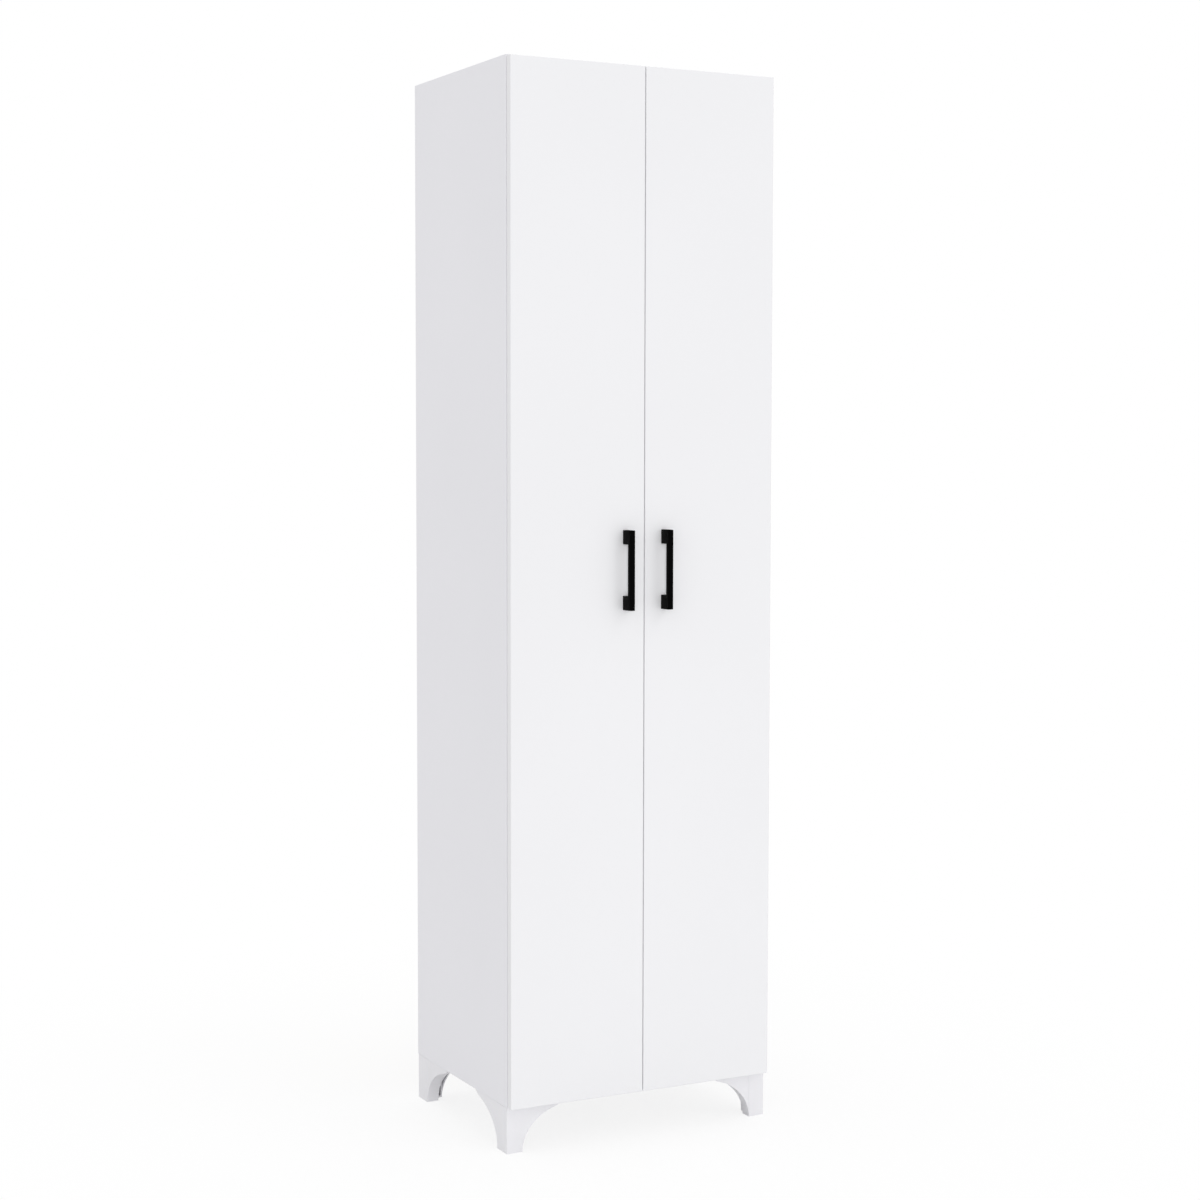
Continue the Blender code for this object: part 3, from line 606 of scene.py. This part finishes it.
def rivet_head(name, finish, radius, height):
    """Low domed rivet head on the plane z = 0."""
    deselect()
    origin = (0, 0, 0)
    bpy.ops.mesh.primitive_uv_sphere_add(segments=20, ring_count=10, radius=radius, location=origin)
    piece = blank(name, finish)
    piece.scale.z = height / radius
    bpy.ops.object.transform_apply(location=True, rotation=True, scale=True)
    editing(piece)
    bpy.ops.mesh.bisect(plane_co=origin, plane_no=(0, 0, 1), use_fill=True, clear_inner=True)
    done()
    smooth(piece, ROUND_TURN)
    return piece


def facing(normal):
    """Turn that takes +Z to a direction."""
    return Vector(normal).to_track_quat("Z", "Y").to_matrix().to_4x4()


def stand(master, name, spots, normal, body, turn=0.0):
    """One piece made of copies of a master, standing on a surface at each spot.

    The turn, in radians, is how far each copy's recess is driven round.
    """
    form = bmesh.new()
    for spot in spots:
        copy = master.data.copy()
        copy.transform(Matrix.Translation(spot) @ facing(normal) @ Matrix.Rotation(turn, 4, "Z"))
        form.from_mesh(copy)
        bpy.data.meshes.remove(copy)
    mesh = bpy.data.meshes.new(name)
    form.to_mesh(mesh)
    form.free()
    mesh.materials.append(master.data.materials[0])
    piece = bpy.data.objects.new(name, mesh)
    bpy.context.scene.collection.objects.link(piece)
    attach(piece, body)
    return piece


# Heads of screws and rivets: radius, height, and rounding of the rim
CUP_SCREW = (0.0033, 0.0008, 0.0004)
PLATE_SCREW = (0.0034, 0.0017, 0.0009)
WEB_SCREW = (0.0036, 0.0014, 0.0006)
HANDLE_SCREW = (0.0037, 0.0016, 0.0008)
FOOT_SCREW = (0.0036, 0.0018, 0.0009)
RIVET = (0.0019, 0.0005)

# Places of the hinge fittings, from the carcass's front corner
EAR_INWARD = 0.0320
EAR_SPREAD = 0.0225
FLANGE_FACE = 0.0013
WING_BACK = 0.037
WING_SPREAD = 0.016
WING_FACE = 0.0185
WEB_FACE = 0.0300
ADJUST_BACK = 0.0415
FIXING_BACK = 0.0560
CHEEK_FACE = 0.0072
ARM_PINS = ((0.03324, 0.02987), (0.02543, 0.00343))


def hinge_level(side_name, level):
    """Height of a hinge's middle."""
    low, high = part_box(side_name + "_" + level + "_hinge_arm")
    return (low.z + high.z) / 2


def dress_hinges():
    """Smooth hinge pieces with their screws and rivets."""
    cup_screw = screw_head("cup_screw", NICKEL, *CUP_SCREW)
    plate_screw = screw_head("plate_screw", ZINC, *PLATE_SCREW)
    web_screw = screw_head("web_screw", ZINC, *WEB_SCREW)
    rivet = rivet_head("rivet", NICKEL, *RIVET)
    for side_name, side in SIDES:
        door = side_name + "_door"
        for level in LEVELS:
            stem = side_name + "_" + level + "_hinge_"
            refined(stem + "cup", door, NICKEL, SHEET_EDGE)
            refined(stem + "arm", "root", NICKEL, BENT_EDGE)
            refined(stem + "plate", "root", ZINC, BENT_EDGE)
            refined(stem + "outer_link", side_name + "_outer_links", NICKEL, SHEET_EDGE)
            refined(stem + "inner_link", side_name + "_inner_links", ZINC, SHEET_EDGE)
            height = hinge_level(side_name, level)

            def spot(inward, back, up):
                return Vector((side * (HALF_WIDTH - inward), FRONT + back, height + up))

            ears = [spot(EAR_INWARD, 0, up) for up in (-EAR_SPREAD, EAR_SPREAD)]
            ears = [Vector((ear.x, DOOR_BACK + FLANGE_FACE, ear.z)) for ear in ears]
            stand(cup_screw, stem + "cup_screws", ears, (0, 1, 0), door, turn=0.4)
            wings = [spot(WING_FACE, WING_BACK, up) for up in (-WING_SPREAD, WING_SPREAD)]
            inwards = (-side, 0, 0)
            stand(plate_screw, stem + "plate_screws", wings, inwards, "root", turn=0.7)
            web = [spot(WEB_FACE, back, 0) for back in (ADJUST_BACK, FIXING_BACK)]
            stand(web_screw, stem + "arm_screws", web, inwards, "root", turn=0.2)
            for end_name, end in (("lower", -1), ("upper", 1)):
                heads = [spot(inward, back, end * CHEEK_FACE) for inward, back in ARM_PINS]
                name = stem + end_name + "_rivets"
                stand(rivet, name, heads, (0, 0, end), "root")
    discard(cup_screw, plate_screw, web_screw, rivet)


# Cam caps and door bumpers: radius, height, rounding of the rim, depth of the dimple, and sides
CAM_CAP = (0.0085, 0.0008, 0.0005, 0.0002, 40)
BUMPER = (0.004, 0.0012, 0.0009, 0.0001, 28)
CAM_FROM_END = 0.034
CAM_FROM_FRONT = 0.070
BUMPER_FROM_SEAM = 0.020
BUMPER_FROM_END = 0.0075

# Handles and feet: the spacing of the handle's screws, and the foot's height, corners and screws
HANDLE_HOLES = 0.128
FOOT_HEIGHT = 0.090
FOOT_EDGE = 0.0003
FOOT_CORNER = 28.0
SEATED = 0.0001
TOUCHING = 0.00002
FIXING_THICKNESS = 0.0025
FOOT_SCREWS = ((0.033, 0.033), (0.058, 0.029), (0.029, 0.058))

# Nails of the back board: their heads, the room round them, and their places
NAIL_RADIUS = 0.0022
NAIL_DEPTH = 0.0005
NAIL_RIM = 0.00015
NAIL_DIMPLE = 0.00005
NAIL_SIDES = 20
NAIL_ROOM = 0.0002
NAIL_EDGE = 0.008
NAIL_PITCH = 0.180


def dress_handles():
    """Handles, and the screws that hold them from the doors' backs."""
    screw = screw_head("handle_screw", ZINC, *HANDLE_SCREW)
    for side_name, _ in SIDES:
        node = side_name + "_handle"
        door = side_name + "_door"
        refined(node, door, BLACK, HANDLE_EDGE)
        low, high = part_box(node)
        middle = (low + high) / 2
        levels = [middle.z + end * HANDLE_HOLES / 2 for end in (-1, 1)]
        spots = [Vector((middle.x, DOOR_BACK, level)) for level in levels]
        stand(screw, node + "_screws", spots, (0, 1, 0), door, turn=0.9)
    discard(screw)


def soften_below(foot):
    """Round a foot's corners below its top, and raise the top until it meets the boards it carries."""
    editing(foot)
    form = bmesh.from_edit_mesh(foot.data)
    for face in form.faces:
        face.select_set(False)
    for edge in form.edges:
        topmost = all(vert.co.z > FOOT_HEIGHT - SEATED for vert in edge.verts)
        sharp = edge.calc_face_angle(0.0) > math.radians(FOOT_CORNER)
        wide = edge.calc_length() > FOOT_EDGE
        edge.select_set(sharp and wide and not topmost)
    bmesh.update_edit_mesh(foot.data)
    bpy.ops.mesh.bevel(offset=FOOT_EDGE, segments=2, affect="EDGES", clamp_overlap=True)
    bpy.ops.mesh.select_all(action="DESELECT")
    form = bmesh.from_edit_mesh(foot.data)
    for vert in form.verts:
        vert.select_set(vert.co.z > FOOT_HEIGHT - SEATED)
    form.select_flush_mode()
    bmesh.update_edit_mesh(foot.data)
    bpy.ops.transform.translate(value=(0, 0, BASE - FOOT_HEIGHT - TOUCHING))
    done()
    smooth(foot, FOOT_CORNER)


def dress_feet():
    """Moulded feet and the screws through their fixing plates."""
    screw = screw_head("foot_screw", ZINC, *FOOT_SCREW)
    for end_name, inward in (("front", 1), ("rear", -1)):
        for side_name, side in SIDES:
            node = end_name + "_" + side_name + "_foot"
            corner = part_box(node)[0] if inward > 0 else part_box(node)[1]
            foot = refined(node, "root", PLASTIC, angle=FOOT_CORNER)
            soften_below(foot)
            level = FOOT_HEIGHT - FIXING_THICKNESS
            spots = []
            for across, back in FOOT_SCREWS:
                spots.append(Vector((side * (HALF_WIDTH - across), corner.y + inward * back, level)))
            stand(screw, node + "_screws", spots, (0, 0, -1), "root", turn=0.3)
    discard(screw)


def dress_joints():
    """Caps over the cam fittings, and bumpers where the doors meet the top and bottom boards."""
    cap = disc("cam_cap", PLASTIC, *CAM_CAP)
    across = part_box("top_panel")[1].x - CAM_FROM_END
    for name in ("top_panel", "fixed_shelf", "bottom_panel"):
        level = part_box(name)[0].z
        spots = []
        for x in (-across, across):
            for y in (FRONT + CAM_FROM_FRONT, REAR - CAM_FROM_FRONT):
                spots.append(Vector((x, y, level)))
        stand(cap, name + "_cam_caps", spots, (0, 0, -1), "root")
    bumper = disc("bumper", SILICONE, *BUMPER)
    for side_name, side in SIDES:
        door = side_name + "_door"
        spots = []
        for level in (DOOR_BOTTOM + BUMPER_FROM_END, DOOR_TOP - BUMPER_FROM_END):
            spots.append(Vector((side * BUMPER_FROM_SEAM, DOOR_BACK, level)))
        stand(bumper, door + "_bumpers", spots, (0, 1, 0), door)
    discard(cap, bumper)


def dress_pins():
    """Smooth shelf pins."""
    for name in NODES:
        if name.endswith("_pin"):
            refined(name, "root", NICKEL, angle=ROUND_TURN)


def nail_spots():
    """Nails round the back board and across it at the fixed shelf."""
    low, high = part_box("back_panel")
    left = low.x + NAIL_EDGE
    right = high.x - NAIL_EDGE
    bottom = low.z + NAIL_EDGE
    top = high.z - NAIL_EDGE
    shelf_low, shelf_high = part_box("fixed_shelf")
    rows = math.ceil((top - bottom) / NAIL_PITCH)
    columns = math.ceil((right - left) / NAIL_PITCH)
    spots = []
    for row in range(rows + 1):
        level = bottom + (top - bottom) * row / rows
        spots += [(left, level), (right, level)]
    for column in range(1, columns):
        across = left + (right - left) * column / columns
        spots += [(across, bottom), (across, (shelf_low.z + shelf_high.z) / 2), (across, top)]
    return spots


def dress_back():
    """Back board with its nails let in flush."""
    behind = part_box("back_panel")[1].y
    board = refined("back_panel", "root", HARDBOARD)
    holes = []
    for across, level in nail_spots():
        deselect()
        bpy.ops.mesh.primitive_cylinder_add(
            vertices=NAIL_SIDES,
            radius=NAIL_RADIUS + NAIL_ROOM,
            depth=2 * NAIL_DEPTH + 2 * NAIL_ROOM,
            location=(across, behind, level),
            rotation=(math.pi / 2, 0, 0),
        )
        holes.append(bpy.context.view_layer.objects.active)
    only(holes[0])
    for hole in holes:
        hole.select_set(True)
    bpy.ops.object.join()
    bpy.ops.object.transform_apply(location=True, rotation=True, scale=True)
    cut(board, holes[0])
    smooth(board, HEAD_TURN)
    nail = disc("nail", ZINC, NAIL_RADIUS, NAIL_DEPTH, NAIL_RIM, NAIL_DIMPLE, NAIL_SIDES)
    spots = [Vector((across, behind - NAIL_DEPTH, level)) for across, level in nail_spots()]
    stand(nail, "back_nails", spots, (0, 1, 0), "root")
    discard(nail)


def lay_floor():
    """Pale floor that shows plain white, and the cupboard's soft shadow near its middle."""
    deselect()
    bpy.ops.mesh.primitive_plane_add(size=2 * FLOOR_REACH, location=(0, 0, 0))
    floor = bpy.context.view_layer.objects.active
    floor.name = "floor"
    finish = Finish("studio_floor", FLOOR_GREY, FLOOR_ROUGHNESS)
    finish.shader.inputs["Specular IOR Level"].default_value = 0.0
    glow = finish.node("ShaderNodeEmission")
    away = finish.node("ShaderNodeVectorMath", operation="LENGTH")
    finish.link(finish.place.outputs["Object"], away.inputs[0])
    distance = away.outputs["Value"]
    share = finish.ranged(distance, FLOOR_NEAR, FLOOR_FAR, 1 - FLOOR_SHARE, 1.0)
    lift = finish.ranged(distance, FLOOR_NEAR, FLOOR_FAR, FLOOR_LIFT, 1.0)
    finish.link(lift, glow.inputs["Strength"])
    rays = finish.node("ShaderNodeLightPath")
    seen = finish.math("MAXIMUM", rays.outputs["Is Camera Ray"], rays.outputs["Is Glossy Ray"])
    seen = finish.math("MAXIMUM", seen, rays.outputs["Is Transmission Ray"])
    mix = finish.node("ShaderNodeMixShader")
    finish.link(finish.math("MULTIPLY", seen, share), mix.inputs[0])
    finish.link(finish.shader.outputs["BSDF"], mix.inputs[1])
    finish.link(glow.outputs["Emission"], mix.inputs[2])
    finish.link(mix.outputs["Shader"], finish.tree.nodes["Material Output"].inputs["Surface"])
    floor.data.materials.append(finish.material)


def light_room():
    """White surroundings that give an even light of their own strength."""
    world = bpy.data.worlds.new("studio")
    bpy.context.scene.world = world
    world.use_nodes = True
    tree = world.node_tree
    back = tree.nodes["Background"]
    back.inputs["Color"].default_value = (1.0, 1.0, 1.0, 1.0)
    rays = tree.nodes.new("ShaderNodeLightPath")
    seen = rays.outputs["Is Camera Ray"]
    for name in ("Is Transmission Ray", "Is Glossy Ray"):
        most = tree.nodes.new("ShaderNodeMath")
        most.operation = "MAXIMUM"
        tree.links.new(seen, most.inputs[0])
        tree.links.new(rays.outputs[name], most.inputs[1])
        seen = most.outputs["Value"]
    level = tree.nodes.new("ShaderNodeMapRange")
    level.inputs["To Min"].default_value = ROOM_LIGHT
    level.inputs["To Max"].default_value = 1.0
    tree.links.new(seen, level.inputs["Value"])
    tree.links.new(level.outputs["Result"], back.inputs["Strength"])


def hang_lamps():
    """Three soft lamps: level from the front left, from the right and above, and from overhead."""
    for name, across, above, spread, strength, shines in LAMPS:
        lamp = bpy.data.lights.new(name, "SUN")
        lamp.energy = strength
        lamp.angle = math.radians(spread)
        holder = bpy.data.objects.new(name, lamp)
        holder.visible_glossy = shines
        holder.rotation_euler = (math.radians(90 - above), 0, math.radians(across))
        bpy.context.scene.collection.objects.link(holder)


def camera():
    """Camera at the photograph's viewpoint."""
    data = bpy.data.cameras.new("camera")
    data.sensor_width = CAMERA_SENSOR
    data.lens = CAMERA_LENS
    data.shift_x, data.shift_y = CAMERA_SHIFT
    data.clip_start = CAMERA_NEAR
    data.clip_end = CAMERA_FAR
    eye = bpy.data.objects.new("camera", data)
    turn = Matrix.Rotation(math.radians(-CAMERA_YAW), 4, "Z")
    tilt = Matrix.Rotation(math.radians(90 + CAMERA_PITCH), 4, "X")
    roll = Matrix.Rotation(math.radians(CAMERA_ROLL), 4, "Z")
    eye.matrix_world = Matrix.Translation(CAMERA_PLACE) @ turn @ tilt @ roll
    bpy.context.scene.collection.objects.link(eye)
    bpy.context.scene.camera = eye


bpy.context.scene.view_settings.view_transform = "Standard"
dress_boards()
dress_feet()
dress_handles()
dress_hinges()
dress_pins()
dress_joints()
dress_back()
lay_floor()
light_room()
hang_lamps()
camera()
